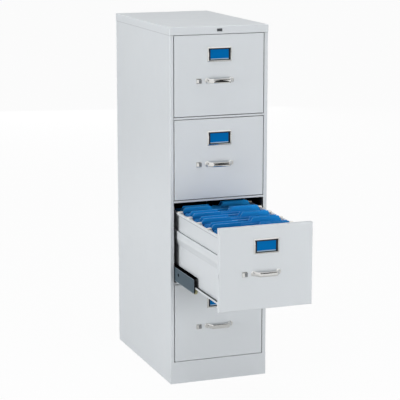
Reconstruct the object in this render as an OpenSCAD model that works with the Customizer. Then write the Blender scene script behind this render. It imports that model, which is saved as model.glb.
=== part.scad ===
// Four-drawer vertical filing cabinet in folded sheet steel, in millimetres.
// The frame has +Z up and +X to the right of a person facing the drawers, whose fronts face -Y.
// The origin is the centre of the case's footprint, at floor level.

/* [Case] */
// Width over the top cap
case_w = 381; // [375:1:390]
// Depth over the top cap
case_d = 635; // [630:1:680]
// Height from the floor to the top
case_h = 1321; // [1311:1:1331]
// Thickness of the case's sheet
case_t = 1.2; // [1.0:0.1:1.4]
// Height of the top cap's turned-down flange
cap_h = 28; // [26:1:30]
// Height of the plinth under the bottom drawer
plinth_h = 83; // [80:1:86]
// Height of each cross rail between two drawers
rail_h = 8; // [7:0.5:9]
// Width of the front stile on each side
stile_w = 14.7; // [14:0.1:15.2]

// Spacing of the glide holes from side to side
glide_x = 332; // [322:1:338]
// Spacing of the glide holes from front to back
glide_y = 584; // [574:1:590]
// Radius of each glide hole
glide_hole_r = 4.2; // [3.5:0.1:5.5]

/* [Drawers] */
// Gap round each drawer front
front_gap = 2; // [1.5:0.5:2.5]
// Depth of the box-formed drawer front
front_deep = 18; // [16:1:19]
// Thickness of the drawers' sheet
drawer_t = 1; // [0.8:0.1:1.1]
// Half the width between the middles of a drawer's side walls
wall_x = 155; // [154:0.5:156]
// Length of a drawer from its face to its back
drawer_len = 599; // [590:1:599]
// Height of a drawer's rim above the bottom edge of its front
rim_z = 260; // [256:1:262]
// Furthest that a drawer runs out
drawer_travel = 560; // [500:10:570]
// How far the third drawer stands open
open_by = 450; // [400:10:460]

/* [Fittings] */
// Width of a drawer pull
pull_w = 112; // [100:1:120]
// How far a pull stands out from the drawer front
pull_out = 28; // [24:1:32]
// Height of a pull's bar
pull_h = 17; // [13:1:18]
// Height of the pull and latch above the bottom edge of a drawer front
pull_z = 127; // [123:0.5:132]
// Width of a label holder
label_w = 94; // [88:1:96]
// Height of a label holder
label_h = 54; // [50:1:56]
// Radius of the rollers
roller_r = 10; // [9:0.5:10]

/* [Hidden] */
$fn = 48;
N_DRAWERS = 4;
OPEN_DRAWER = 3;
BEND_STEPS = 3; // flats round each sheet-metal bend
weld_gap = 0.05; // hairline between sheets that are spot welded
run_gap = 0.3; // clearance between pieces that roll or slide on each other

// Case
cap_x = case_w / 2;
cap_y = case_d / 2;
body_x = cap_x - case_t; // outer face of a side panel
body_y = cap_y - case_t; // outer face of the stiles and of the rear flanges
body_z = case_h - case_t;
inner_x = body_x - case_t; // inner face of a side panel
stile_x = body_x - stile_w; // face of the stile's return, beside the drawer fronts
stile_deep = 21;
case_bend_r = 1.8;
plinth_shelf = 23;
rail_deep = 25;
gusset = 58;
gusset_t = 3;
post_x = inner_x - 4.1; // inner face of the uprights
post_w = 30;
post_ys = [-275, 235]; // where the front and rear uprights start

// Drawer fronts
bay_h = case_h - cap_h - plinth_h;
front_h = (bay_h - (N_DRAWERS - 1) * rail_h - 2 * N_DRAWERS * front_gap) / N_DRAWERS;
front_x = stile_x - front_gap;
front_w = 2 * front_x;
drawer_pitch = front_h + rail_h + 2 * front_gap;
pan_bend_r = 1.3;

// Drawer tray, measured from the front's face (y) and the front's bottom edge (z)
wall_in = wall_x - drawer_t / 2;
wall_out = wall_x + drawer_t / 2;
tray_y = front_deep + weld_gap;
runner_z = 22; // underside of the runner flange
runner_x = wall_x + 12.5;
runner_lip = 7; // how far the runner's outer edge is turned up
floor_z = 25; // top of the tray's floor
bead_x = wall_x + 7;
bead_lo = 138;
bead_hi = 190;
bead_slope = 24; // height over which the bead runs out into the wall
hem_x = wall_x + 8;
hem_h = 9;
back_h = 200;
track_w = 28;
track_h = 8;

// Suspension
cradle_x = 171; // outer face of the cradle's channel
cradle_plate_t = 1.6;
cradle_lo = 5;
cradle_hi = 61;
cradle_flange = 11;
cradle_y = front_deep + 1.5;
cradle_len = 555;
channel_x = post_x - weld_gap;
channel_flange = 9;
channel_lo = 3;
channel_hi = 47;
channel_len = 590;
roller_w = 10;
axle_r = 3;
cradle_roller_y = cradle_y + roller_r + 1.5;
cradle_roller_z = runner_z - run_gap - roller_r;
case_roller_r = roller_r - 1;
case_roller_y = 60;
case_roller_z = cradle_lo - run_gap - case_roller_r;

// Latch
latch_x = -79.5;
latch_travel = 7;
button = [20, 9, 19];
stem = [5, 6]; // width and height of the button's neck
bar_h = 10;
bar_t = 3;
bar_y = 5; // how deep the latch's bar lies behind the front's face

// Files in the open drawer
n_pockets = 5;
pocket_pitch = 98;
pocket_first = 50;
pocket_half = 45; // half the space between a pocket's two rods
pocket_files = 3;
file_lean = 7; // how much more each file leans than the one before it
file_step = 4; // how far apart the files stand at the bottom of a pocket
sheet_half = 146; // half the width of a pocket's sheet
file_half = sheet_half - 3;
file_low = floor_z + 22; // where a file turns when it leans
file_t = 2.2;
file_top = 277;
file_corner = [11, 18]; // the slanted outer corner of a tab that stands at a file's end
body_corner = 6; // the cut corner at an end without a tab
tab_h = 12;
tab_w = 98;
tab_slant = 10;
rod_h = 8;

GREY = "#cfd4d7";
CHROME = "#d9dadb";
BLUE = "#1769a8";

function drawer_node(n, piece) = str("drawer_", n, "_", piece);
DRAWER_PIECES = ["front", "tray", "handle", "label_holder", "label_card", "thumb_latch", "latch_bar",
                 "follower", "cradle_channels", "cradle_plates", "cradle_rollers", "case_rollers"];

// ---- Folded sheet ----

function unit(v) = v / norm(v);
function left_of(v) = [-v.y, v.x];
function turned(v, a) = [v.x * cos(a) - v.y * sin(a), v.x * sin(a) + v.y * cos(a)];

// Points round the bend at b on the way from a to c, at a distance `off` to the left of the sheet's middle.
function bend_points(a, b, c, r, off, steps) =
    let (u = unit(b - a), v = unit(c - b),
         turn = atan2(u.x * v.y - u.y * v.x, u * v), s = sign(turn),
         centre = b - u * r * tan(abs(turn) / 2) + left_of(u) * s * r)
    [for (k = [0:steps]) centre - turned(left_of(u), turn * k / steps) * s * (r - s * off)];

// One side of a folded sheet whose middle follows `path`.
function fold_side(path, r, off, steps) =
    let (n = len(path))
    concat([path[0] + left_of(unit(path[1] - path[0])) * off],
           [for (i = [1:n - 2])
               each bend_points(path[i - 1], path[i], path[i + 1], is_list(r) ? r[i - 1] : r, off, steps)],
           [path[n - 1] + left_of(unit(path[n - 1] - path[n - 2])) * off]);

function reversed(list) = [for (i = [len(list) - 1:-1:0]) list[i]];

// Cross-section of a sheet of thickness t, whose corners along `path` are bent to the radius r,
// which is one number or a list with a radius for each corner.
module fold(path, t, r, steps = BEND_STEPS) {
    polygon(concat(fold_side(path, r, t / 2, steps), reversed(fold_side(path, r, -t / 2, steps))));
}

// Extrusions of a section drawn in (y, z), (x, z) and (x, y).
module along_x(x0, x1) {
    translate([x0, 0, 0]) rotate([90, 0, 90]) linear_extrude(x1 - x0) children();
}

module along_y(y0, y1) {
    translate([0, y1, 0]) rotate([90, 0, 0]) linear_extrude(y1 - y0) children();
}

module along_z(z0, z1) {
    translate([0, 0, z0]) linear_extrude(z1 - z0) children();
}

module box(low, high) {
    translate(low) cube(high - low);
}

// A rectangle with rounded corners.
module rounded_rect(low, high, r) {
    translate(low + [r, 0]) square([high.x - low.x - 2 * r, high.y - low.y]);
    translate(low + [0, r]) square([high.x - low.x, high.y - low.y - 2 * r]);
    for (x = [low.x + r, high.x - r], y = [low.y + r, high.y - r]) translate([x, y]) circle(r);
}

// A block whose edges along X and Z at the low-y end are rounded, as on a box folded from one sheet.
module eased_block(low, high, r) {
    intersection() {
        along_z(low.z, high.z) rounded_rect([low.x, low.y], [high.x, high.y + 2 * r], r);
        along_x(low.x, high.x) rounded_rect([low.y, low.z], [high.y + 2 * r, high.z], r);
        box(low, high);
    }
}

// A cylinder along X between two x positions.
module rod_x(x0, x1, r, y, z) {
    translate([x0, y, z]) rotate([0, 90, 0]) cylinder(r = r, h = x1 - x0);
}

module both_sides() {
    children();
    mirror([1, 0, 0]) children();
}

// ---- Places ----

function front_z(n) = plinth_h + front_gap + (N_DRAWERS - n) * drawer_pitch;
function drawn_out(n) = n == OPEN_DRAWER ? open_by : 0;

// Puts a piece, drawn from its drawer front's face and bottom edge, in bay n and a share of the way out.
module in_bay(n, share = 0) {
    translate([0, -cap_y - drawn_out(n) * share, front_z(n)]) children();
}

// ---- Case ----

// Side panel with its front stile, the stile's return and the rear flange, on the +X side.
module side_panel(strike) {
    mid_x = body_x - case_t / 2;
    mid_y = body_y - case_t / 2;
    return_x = stile_x + case_t / 2;
    difference() {
        along_z(0, body_z - weld_gap)
            fold([[return_x, -body_y + stile_deep], [return_x, -mid_y], [mid_x, -mid_y],
                  [mid_x, mid_y], [mid_x - stile_w, mid_y]], case_t, case_bend_r);
        // The stile stops on top of the plinth.
        box([stile_x - 1, -cap_y, -1], [body_x + 1, -body_y + case_t + weld_gap, plinth_h + weld_gap]);
        box([stile_x - 1, -cap_y, -1], [inner_x, -body_y + plinth_shelf + 1, plinth_h + weld_gap]);
        if (strike)
            for (n = [1:N_DRAWERS])
                box([stile_x - 1, -cap_y + bar_y - 1.2, front_z(n) + pull_z - bar_h / 2 - 1.5],
                    [stile_x + case_t + 1, -cap_y + bar_y + bar_t + 1.2, front_z(n) + pull_z + bar_h / 2 + 1.5]);
    }
}

module case_right_side() {
    color(GREY) side_panel(strike = false);
}

module case_left_side() {
    color(GREY) mirror([1, 0, 0]) side_panel(strike = true);
}

// Back panel, welded inside the rear flanges.
module case_back() {
    y = body_y - case_t - weld_gap;
    x = inner_x - case_bend_r + case_t / 2;
    color(GREY) box([-x, y - case_t, 0], [x, y, body_z - weld_gap]);
}

// Top cap: a shallow tray turned upside down, with a hem turned in under its front flange.
module case_top() {
    lip_z = case_h - cap_h;
    r = case_bend_r + case_t / 2;
    color(GREY) {
        difference() {
            intersection() {
                along_z(lip_z, case_h) rounded_rect([-cap_x, -cap_y], [cap_x, cap_y], r);
                along_x(-cap_x, cap_x) rounded_rect([-cap_y, lip_z - 2 * r], [cap_y, case_h], r);
                along_y(-cap_y, cap_y) rounded_rect([-cap_x, lip_z - 2 * r], [cap_x, case_h], r);
            }
            box([-body_x, -body_y, lip_z - 1], [body_x, body_y, body_z]);
        }
        box([-stile_x + 1, -body_y, lip_z], [stile_x - 1, -body_y + 12, lip_z + case_t]);
    }
}

// Plinth: the kick plate with its shelf, turned down at the back, and a foot turned in along the floor.
module case_plinth() {
    shelf_y = -body_y + plinth_shelf;
    side_x = inner_x - weld_gap;
    color(GREY) union() {
        box([-body_x, -body_y, 0], [body_x, -body_y + case_t, plinth_h]);
        box([-side_x, -body_y, plinth_h - case_t], [side_x, shelf_y, plinth_h]);
        box([-side_x, shelf_y - case_t, plinth_h - 14], [side_x, shelf_y, plinth_h]);
        box([-side_x + gusset + weld_gap, -body_y, 0], [side_x - gusset - weld_gap, -body_y + 16, case_t]);
    }
}

// The channels that cross the front between the drawers.
module case_cross_rails() {
    lo = case_t / 2;
    hi = rail_h - case_t / 2;
    y = -body_y + case_t / 2;
    color(GREY)
        for (n = [1:N_DRAWERS - 1])
            translate([0, 0, front_z(n) - front_gap - rail_h])
                along_x(-stile_x + weld_gap, stile_x - weld_gap)
                    fold([[y + rail_deep, hi - 3], [y + rail_deep, hi], [y, hi], [y, lo], [y + rail_deep, lo],
                          [y + rail_deep, lo + 2]], case_t, 0.8);
}

// Shallow channels up the inside of the side panels, which carry the slide channels.
module case_uprights() {
    mid_x = post_x + case_t / 2;
    color("#8d959a")
        both_sides()
            for (y = post_ys)
                along_z(gusset_t + weld_gap, body_z - weld_gap)
                    fold([[inner_x - weld_gap, y], [mid_x, y], [mid_x, y + post_w],
                          [inner_x - weld_gap, y + post_w]], case_t, 1);
}

// One slide channel and the ear with the stub axle of its roller, in bay coordinates on the +X side.
module slide_channel() {
    web = channel_x - case_t / 2;
    y0 = cap_y - 290;
    tip = channel_x - channel_flange;
    along_y(y0, y0 + channel_len)
        fold([[tip, channel_lo + case_t / 2], [web, channel_lo + case_t / 2],
              [web, channel_hi - case_t / 2], [tip, channel_hi - case_t / 2]], case_t, 1);
    difference() {
        box([channel_x - case_t, case_roller_y - 14, case_roller_z - 8],
            [channel_x, case_roller_y + 14, channel_lo + 4]);
        rod_x(channel_x - 5, channel_x + 5, axle_r, case_roller_y, case_roller_z);
    }
    rod_x(cradle_x - roller_w - 1, channel_x, axle_r, case_roller_y, case_roller_z);
    rod_x(cradle_x - roller_w - 2, cradle_x - roller_w - 1, axle_r + 2, case_roller_y, case_roller_z);
    rod_x(cradle_x + 1, channel_x - case_t, axle_r + 3, case_roller_y, case_roller_z);
}

module case_slide_channels() {
    color("#8d959a")
        for (n = [1:N_DRAWERS]) in_bay(n) both_sides() slide_channel();
}

// Corner plates in the base, each drilled for a levelling glide or an anchor bolt.
module case_corner_gussets() {
    x = inner_x - weld_gap;
    y = body_y - 2 * case_t - 2 * weld_gap;
    color("#8d959a")
        both_sides()
            for (s = [-1, 1])
                scale([1, s, 1]) difference() {
                    linear_extrude(gusset_t)
                        polygon([[x, y], [x - gusset, y], [x - gusset, y - 14], [x - 14, y - gusset], [x, y - gusset]]);
                    translate([glide_x / 2, glide_y / 2, -1]) cylinder(r = glide_hole_r, h = gusset_t + 2);
                }
}

// Bare badge on the front of the cap.
module badge_plate() {
    color("#3a3d40")
        translate([0, -cap_y, case_h - cap_h / 2]) box([-10, -1, -5], [10, 0, 5]);
}

// ---- Drawers, each drawn from its front's face (y = 0) and its front's bottom edge (z = 0) ----

// Slot that the latch's bar slides through, from x0 to x1.
module bar_slot(x0, x1) {
    box([x0, bar_y - 0.5, pull_z - bar_h / 2 - 0.5], [x1, bar_y + bar_t + 0.5, pull_z + bar_h / 2 + 0.5]);
}

// Front: a box folded from one sheet, open behind, with two keepers for the latch's bar inside.
module drawer_front() {
    t = drawer_t;
    lip = 12;
    keeper_w = 8;
    color(GREY) difference() {
        union() {
            difference() {
                eased_block([-front_x, 0, 0], [front_x, front_deep, front_h], pan_bend_r + t / 2);
                box([-front_x + t, t, t], [front_x - t, front_deep - t, front_h - t]);
                box([-front_x + lip, t, lip], [front_x - lip, front_deep + 1, front_h - lip]);
            }
            for (x = [-150, -112])
                box([x, t / 2, pull_z - bar_h / 2 - 2.5],
                    [x + keeper_w, bar_y + bar_t + 2, pull_z + bar_h / 2 + 2.5]);
        }
        bar_slot(-front_x - 1, -front_x + t + 1);
        bar_slot(-152, -102);
        box([latch_x - stem.x / 2 - latch_travel - 0.5, -1, pull_z - stem.y / 2 - 0.5],
            [latch_x + stem.x / 2 + 0.5, t + 1, pull_z + stem.y / 2 + 0.5]);
    }
}

// Side wall on the +X side: runner flange with its lip, wall with its raised bead, and rim with a turned-down hem.
module tray_side(y0) {
    t = drawer_t;
    along_y(y0, drawer_len)
        fold([[runner_x, runner_z + runner_lip], [runner_x, runner_z + t / 2], [wall_x, runner_z + t / 2],
              [wall_x, bead_lo], [bead_x, bead_lo + bead_slope], [bead_x, bead_hi - t / 2],
              [wall_x, bead_hi - t / 2], [wall_x, rim_z - t / 2], [hem_x, rim_z - t / 2], [hem_x, rim_z - hem_h]],
             t, [1, 1, 12, 12, 0.8, 0.8, 0.8, 1.2]);
}

// Nylon shoe on the tail of the runner, on the +X side, with a foot below the runner and a guide above it.
module tail_shoe() {
    x1 = cradle_x - case_t - run_gap - 0.2;
    y0 = drawer_len - 42;
    y1 = drawer_len - 6;
    x2 = runner_x - drawer_t / 2 - 0.6;
    z1 = runner_z + runner_lip + 0.6;
    box([wall_out + 0.6, y0, cradle_lo + case_t + run_gap], [x1, y1, runner_z - weld_gap]);
    box([wall_out + 0.6, y0, runner_z + drawer_t + weld_gap], [x2, y1, z1 + 1]);
    box([wall_out + 0.6, y0, z1], [x1, y1, cradle_hi - case_t - run_gap]);
}

// Tray: liner behind the front, two sides, floor with the follower's track, back, and the shoes.
module drawer_tray() {
    t = drawer_t;
    liner_x = front_x - 6;
    y0 = tray_y + t + weld_gap;
    floor_x = wall_in - weld_gap - t / 2;
    y1 = drawer_len - t - weld_gap;
    mid = floor_z - t / 2;
    color(GREY) {
        box([-liner_x, tray_y, 6], [liner_x, tray_y + t, rim_z]);
        both_sides() {
            tray_side(y0);
            tail_shoe();
        }
        along_y(y0, y1)
            fold([[-floor_x, floor_z + 12], [-floor_x, mid], [floor_x, mid], [floor_x, floor_z + 12]], t, 1);
        along_x(-wall_in + weld_gap, wall_in - weld_gap)
            fold([[y1 + weld_gap + t / 2, runner_z], [y1 + weld_gap + t / 2, back_h], [y1 - 10, back_h],
                  [y1 - 10, back_h - 7]], t, 1);
        along_y(y0 + 4, y1 - 4)
            fold([[-track_w / 2 - 8, floor_z + weld_gap + t / 2], [-track_w / 2, floor_z + weld_gap + t / 2],
                  [-track_w / 2, floor_z + track_h], [track_w / 2, floor_z + track_h],
                  [track_w / 2, floor_z + weld_gap + t / 2], [track_w / 2 + 8, floor_z + weld_gap + t / 2]], t, 0.8);
    }
}

// Bow pull: a flat bar bent out from two round feet.
module drawer_handle() {
    bar_depth = 3.4;
    foot_r = 10;
    mid = bar_depth / 2;
    foot_x = pull_w / 2 - foot_r;
    shoulder = pull_w / 2 - 21;
    color(CHROME) translate([0, 0, pull_z]) intersection() {
        along_z(-foot_r, foot_r)
            fold([[-pull_w / 2, -mid], [-foot_x - 1, -mid], [-shoulder, -pull_out + 4.5], [0, -pull_out + mid],
                  [shoulder, -pull_out + 4.5], [foot_x + 1, -mid], [pull_w / 2, -mid]],
                 bar_depth, [5, 8, 160, 8, 5], 6);
        along_y(-pull_out - 1, 1) {
            square([2 * foot_x, pull_h], center = true);
            for (s = [-1, 1]) translate([s * foot_x, 0]) circle(foot_r);
        }
    }
}

// Label holder: a frame round a window, hollow behind and open at the top for the card.
label_z = front_h - 71;
card_gap = 0.3;
module drawer_label_holder() {
    deep = 4.5;
    lip = 2.4;
    rim = 5;
    color(CHROME) translate([0, 0, label_z]) difference() {
        along_y(-deep, 0) rounded_rect([-label_w / 2, -label_h / 2], [label_w / 2, label_h / 2], 2);
        along_y(-deep - 1, 1)
            rounded_rect([-label_w / 2 + rim + 3, -label_h / 2 + rim + 3],
                         [label_w / 2 - rim - 3, label_h / 2 - rim - 3], 1);
        box([-label_w / 2 + rim, -deep + lip, -label_h / 2 + rim], [label_w / 2 - rim, 1, label_h / 2 + 1]);
    }
}

// Card that slides down into the holder.
module drawer_label_card() {
    x1 = label_w / 2 - 5 - card_gap;
    color(BLUE) translate([0, 0, label_z])
        box([-x1, -1.1, -label_h / 2 + 5], [x1, -0.3, label_h / 2 - 3]);
}

// Thumb latch: a sloping plate with a ribbed thumb pad, on a neck that passes through the front.
module drawer_thumb_latch() {
    ribs = 4;
    rib = 1;
    pad_w = 9;
    plate_y = 3.2;
    b = button / 2;
    color("#c4c8ca") translate([latch_x, -run_gap, pull_z]) {
        difference() {
            along_z(-b.z, b.z)
                polygon([[-b.x, 0], [-b.x, -1.2], [b.x - pad_w - 1.5, -plate_y], [b.x - pad_w, -button.y],
                         [b.x - 1.5, -button.y], [b.x, -plate_y], [b.x, 0]]);
            for (i = [0:ribs - 1])
                translate([b.x - pad_w + 0.6 + i * 2 * rib, -button.y - 0.2, -b.z - 1])
                    cube([rib, 1, button.z + 2]);
        }
        box([-stem.x / 2, -0.1, -stem.y / 2], [stem.x / 2, run_gap + bar_y - weld_gap, stem.y / 2]);
    }
}

// Bar that the thumb latch slides: its nose enters the strike in the case's left stile.
module drawer_latch_bar() {
    nose = -front_x + 0.5;
    color("#9aa0a4") translate([0, 0, pull_z - bar_h / 2]) along_z(0, bar_h)
        polygon([[nose, bar_y], [latch_x + 6, bar_y], [latch_x + 6, bar_y + bar_t], [nose + 3, bar_y + bar_t],
                 [nose, bar_y + 1]]);
}

// Follower: an upright plate on a saddle that runs along the track in the drawer's floor.
follower_y = drawer_len - 36;
follower_top = 205;
module drawer_follower() {
    t = 1.2;
    x1 = wall_in - 14;
    saddle_z = floor_z + track_h + t / 2 + drawer_t / 2 + run_gap;
    saddle_x = track_w / 2 + drawer_t / 2 + run_gap + t / 2;
    color("#a9afb2") {
        along_x(-x1, x1)
            fold([[follower_y + 9, follower_top - 8], [follower_y + 9, follower_top], [follower_y, follower_top],
                  [follower_y, saddle_z + t / 2 + weld_gap + 1]], t, 1);
        along_y(follower_y - 24, follower_y + 22)
            fold([[-saddle_x, floor_z + 4], [-saddle_x, saddle_z], [saddle_x, saddle_z],
                  [saddle_x, floor_z + 4]], t, 0.8);
        box([-12, follower_y + t / 2, saddle_z + t / 2], [12, follower_y + 20, saddle_z + t / 2 + 1.2]);
        box([-12, follower_y - t / 2, saddle_z + t / 2], [12, follower_y + t / 2, saddle_z + t / 2 + 1.2]);
    }
}

// ---- Suspension ----

// Cradle channel on the +X side, cut away below its nose to show the roller, with the roller's axle.
module cradle_channel() {
    t = case_t;
    tip = cradle_x - cradle_flange - 2;
    difference() {
        along_y(cradle_y, cradle_y + cradle_len)
            fold([[tip, cradle_lo + t / 2], [cradle_x - t / 2, cradle_lo + t / 2],
                  [cradle_x - t / 2, cradle_hi - t / 2], [tip, cradle_hi - t / 2]], t, 1);
        // The nose: its upper corner is round, and the lower flange starts behind the roller.
        box([tip - 1, cradle_y - 1, cradle_lo - 1], [cradle_x - t - 0.1, cradle_roller_y + roller_r + 2, cradle_lo + t + 1]);
        box([cradle_x - 5, cradle_y - 1, cradle_lo - 1], [cradle_x + 1, cradle_y + 1, cradle_lo + 6]);
        along_x(tip - 1, cradle_x + 1) translate([cradle_y, cradle_hi]) difference() {
            translate([-1, -9]) square([10, 10]);
            translate([9, -9]) circle(9);
        }
    }
    rod_x(158.6, cradle_x - t, axle_r, cradle_roller_y, cradle_roller_z);
    rod_x(157, 158.6, axle_r + 2, cradle_roller_y, cradle_roller_z);
}

// The two cradle channels and the tie that joins them under their tails.
module cradle_channels() {
    tie_y = cradle_y + cradle_len - 45;
    color("#2a2c2e") {
        both_sides() cradle_channel();
        along_x(-cradle_x + 4, cradle_x - 4)
            fold([[tie_y, cradle_lo - 8], [tie_y, cradle_lo - case_t / 2 - weld_gap],
                  [tie_y + 34, cradle_lo - case_t / 2 - weld_gap], [tie_y + 34, cradle_lo - 8]], case_t, 1);
    }
}

// Outer plate of the cradle, riveted outside the channel, with the nylon shoe that runs in the case's channel.
module cradle_plate() {
    y0 = cradle_y + 3;
    y1 = cradle_y + cradle_len;
    x0 = cradle_x + weld_gap;
    x1 = x0 + cradle_plate_t;
    hi = cradle_hi - 4;
    corner = 10;
    hole_r = 6.5;
    hole_y = y0 + 165;
    difference() {
        along_x(x0, x1) difference() {
            translate([y0, cradle_lo]) square([y1 - y0, hi - cradle_lo]);
            translate([y0, cradle_lo]) difference() {
                translate([-1, -1]) square(corner + 1);
                translate([corner, corner]) circle(corner);
            }
        }
        rod_x(x0 - 1, x1 + 1, hole_r, hole_y, (cradle_lo + hi) / 2 + 4);
    }
    box([x1, y1 - 34, channel_lo + case_t + run_gap], [channel_x - case_t - run_gap, y1 - 6,
                                                      channel_hi - case_t - run_gap]);
}

module cradle_plates() {
    color("#52606a") both_sides() cradle_plate();
}

// A pair of rollers, bored to run on their axles.
module roller_pair(r, y, z, x0) {
    color("#e9e3cf")
        both_sides()
            difference() {
                rod_x(x0, x0 + roller_w, r, y, z);
                rod_x(x0 - 1, x0 + roller_w + 1, axle_r + 0.06, y, z);
            }
}

module cradle_rollers() {
    roller_pair(roller_r, cradle_roller_y, cradle_roller_z, 159);
}

module case_rollers() {
    roller_pair(case_roller_r, case_roller_y, case_roller_z, cradle_x - roller_w);
}

// ---- Files in the open drawer ----

// Where pocket i hangs, from the drawer front's face.
function pocket_y(i) = pocket_first + pocket_half + i * pocket_pitch;

// A flat bar with a hooked end, resting on the rims.
module folder_rod(y) {
    z1 = rim_z - 2;
    along_y(y - 0.8, y + 0.8)
        polygon([[-sheet_half - 3, z1 - rod_h], [sheet_half + 3, z1 - rod_h], [sheet_half + 3, rim_z],
                 [hem_x, rim_z], [hem_x, rim_z + 5], [sheet_half - 3, rim_z + 5], [sheet_half - 3, z1],
                 [-sheet_half + 3, z1], [-sheet_half + 3, rim_z + 5], [-hem_x, rim_z + 5], [-hem_x, rim_z],
                 [-sheet_half - 3, rim_z]]);
}

module folder_rods() {
    color("#e6dcc0")
        for (i = [0:n_pockets - 1]) for (s = [-1, 1]) folder_rod(pocket_y(i) + s * pocket_half);
}

// Outline of the right-hand end of a file's top, from its edge to the middle of its tab at x.
function file_end(x) =
    let (body = file_top - tab_h, tab = x + tab_w / 2)
    tab + file_corner.x >= file_half
        ? [[file_half, file_top - file_corner.y], [file_half - file_corner.x, file_top]]
        : [[file_half, body - body_corner], [file_half - body_corner, body], [tab + tab_slant, body],
           [tab, file_top]];

// A file standing in a pocket: a sheet that leans by `lean`, with a tab at the left (-1), middle (0) or right (1).
module file_sheet(y, lean, place) {
    x = place * (file_half - file_corner.x - tab_w / 2);
    left = [for (p = reversed(file_end(-x))) [-p.x, p.y]];
    translate([0, y, file_low]) rotate([lean, 0, 0]) along_y(-file_t / 2, file_t / 2)
        polygon([[-file_half, 0], [file_half, 0], for (p = concat(file_end(x), left)) p - [0, file_low]]);
}

// Place of the tab on file j of pocket i: two left and one right, but one in each place in the first pocket.
function tab_place(i, j) = i == 0 ? j - 1 : (j < 2 ? -1 : 1);

// A hanging pocket: one sheet from rod to rod, folded at the bottom, and the files that stand in it.
module hanging_pocket(i) {
    y = pocket_y(i);
    h = rim_z - 2 - rod_h - 1;
    along_x(-sheet_half, sheet_half)
        fold([[y - pocket_half, h], [y - 5, floor_z + 16], [y + 5, floor_z + 16], [y + pocket_half, h]], 1, 2);
    for (j = [0:pocket_files - 1]) {
        k = j - (pocket_files - 1) / 2;
        file_sheet(y + k * file_step, -k * file_lean, tab_place(i, j));
    }
}

module hanging_folders() {
    color(BLUE) for (i = [0:n_pockets - 1]) hanging_pocket(i);
}

// ---- Assembly ----

case_left_side();
case_right_side();
case_back();
case_top();
case_plinth();
case_cross_rails();
case_uprights();
case_slide_channels();
case_corner_gussets();
badge_plate();
in_bay(OPEN_DRAWER, 1) hanging_folders();
in_bay(OPEN_DRAWER, 1) folder_rods();
for (n = [1:N_DRAWERS]) {
    in_bay(n, 1) drawer_front();
    in_bay(n, 1) drawer_tray();
    in_bay(n, 1) drawer_handle();
    in_bay(n, 1) drawer_label_holder();
    in_bay(n, 1) drawer_label_card();
    in_bay(n, 1) drawer_thumb_latch();
    in_bay(n, 1) drawer_latch_bar();
    in_bay(n, 1) drawer_follower();
    in_bay(n, 0.5) cradle_channels();
    in_bay(n, 0.5) cradle_plates();
    in_bay(n, 0.5) cradle_rollers();
    in_bay(n, 0) case_rollers();
}
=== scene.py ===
"""Looks of a four-drawer vertical filing cabinet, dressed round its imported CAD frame.

Lengths are in metres. The frame is the CAD model's: +Z is up, +X is to the right of a person who faces the
drawers, and the drawer fronts face -Y. Every place is read from the CAD nodes' boxes, so a piece sits where
the construction says. Each sub-assembly is a class that builds its meshes and dresses them with its finishes.
"""

from __future__ import annotations

import logging
import math
import random
from dataclasses import dataclass
from enum import Enum
from typing import Any, Iterable, Sequence

import bmesh
import bpy
from bmesh.types import BMEdge, BMesh, BMFace, BMVert
from bpy.types import Material, Node, NodeSocket, NodeTree, Object
from mathutils import Matrix, Vector

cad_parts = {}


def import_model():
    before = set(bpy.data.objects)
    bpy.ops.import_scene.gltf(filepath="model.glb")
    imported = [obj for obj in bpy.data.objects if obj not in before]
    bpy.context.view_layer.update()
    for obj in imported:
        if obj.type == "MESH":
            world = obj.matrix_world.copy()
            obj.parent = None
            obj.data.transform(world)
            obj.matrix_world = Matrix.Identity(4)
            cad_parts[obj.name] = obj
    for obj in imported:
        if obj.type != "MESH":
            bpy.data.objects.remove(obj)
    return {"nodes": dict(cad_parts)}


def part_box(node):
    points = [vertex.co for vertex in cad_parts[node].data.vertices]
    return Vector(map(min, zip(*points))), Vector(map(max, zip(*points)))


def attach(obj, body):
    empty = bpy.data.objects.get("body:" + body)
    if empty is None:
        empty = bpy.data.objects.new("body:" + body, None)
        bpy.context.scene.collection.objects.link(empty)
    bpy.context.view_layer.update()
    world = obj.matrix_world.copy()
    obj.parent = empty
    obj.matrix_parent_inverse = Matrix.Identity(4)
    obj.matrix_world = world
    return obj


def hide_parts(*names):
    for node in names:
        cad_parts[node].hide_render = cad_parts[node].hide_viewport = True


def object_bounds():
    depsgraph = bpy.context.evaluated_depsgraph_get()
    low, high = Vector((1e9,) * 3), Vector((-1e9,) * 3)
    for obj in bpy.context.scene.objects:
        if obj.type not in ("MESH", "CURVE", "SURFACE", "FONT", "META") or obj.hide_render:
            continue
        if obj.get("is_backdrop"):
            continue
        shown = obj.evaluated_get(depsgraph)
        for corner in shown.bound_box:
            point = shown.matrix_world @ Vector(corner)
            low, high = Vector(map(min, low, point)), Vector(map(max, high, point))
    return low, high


log = logging.getLogger("cabinet")

MM = 0.001
DRAWERS = (1, 2, 3, 4)
FILED_DRAWER = 3
X_AXIS, Y_AXIS, Z_AXIS = Vector((1, 0, 0)), Vector((0, 1, 0)), Vector((0, 0, 1))
QUARTER_TURN, HALF_TURN, FULL_TURN = math.pi / 2, math.pi, 2 * math.pi
# Two places nearer to each other than this count as one.
NEAR = 0.1 * MM
WHITE = (1.0, 1.0, 1.0, 1.0)


# ---- Sizes read from the frame ----


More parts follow.
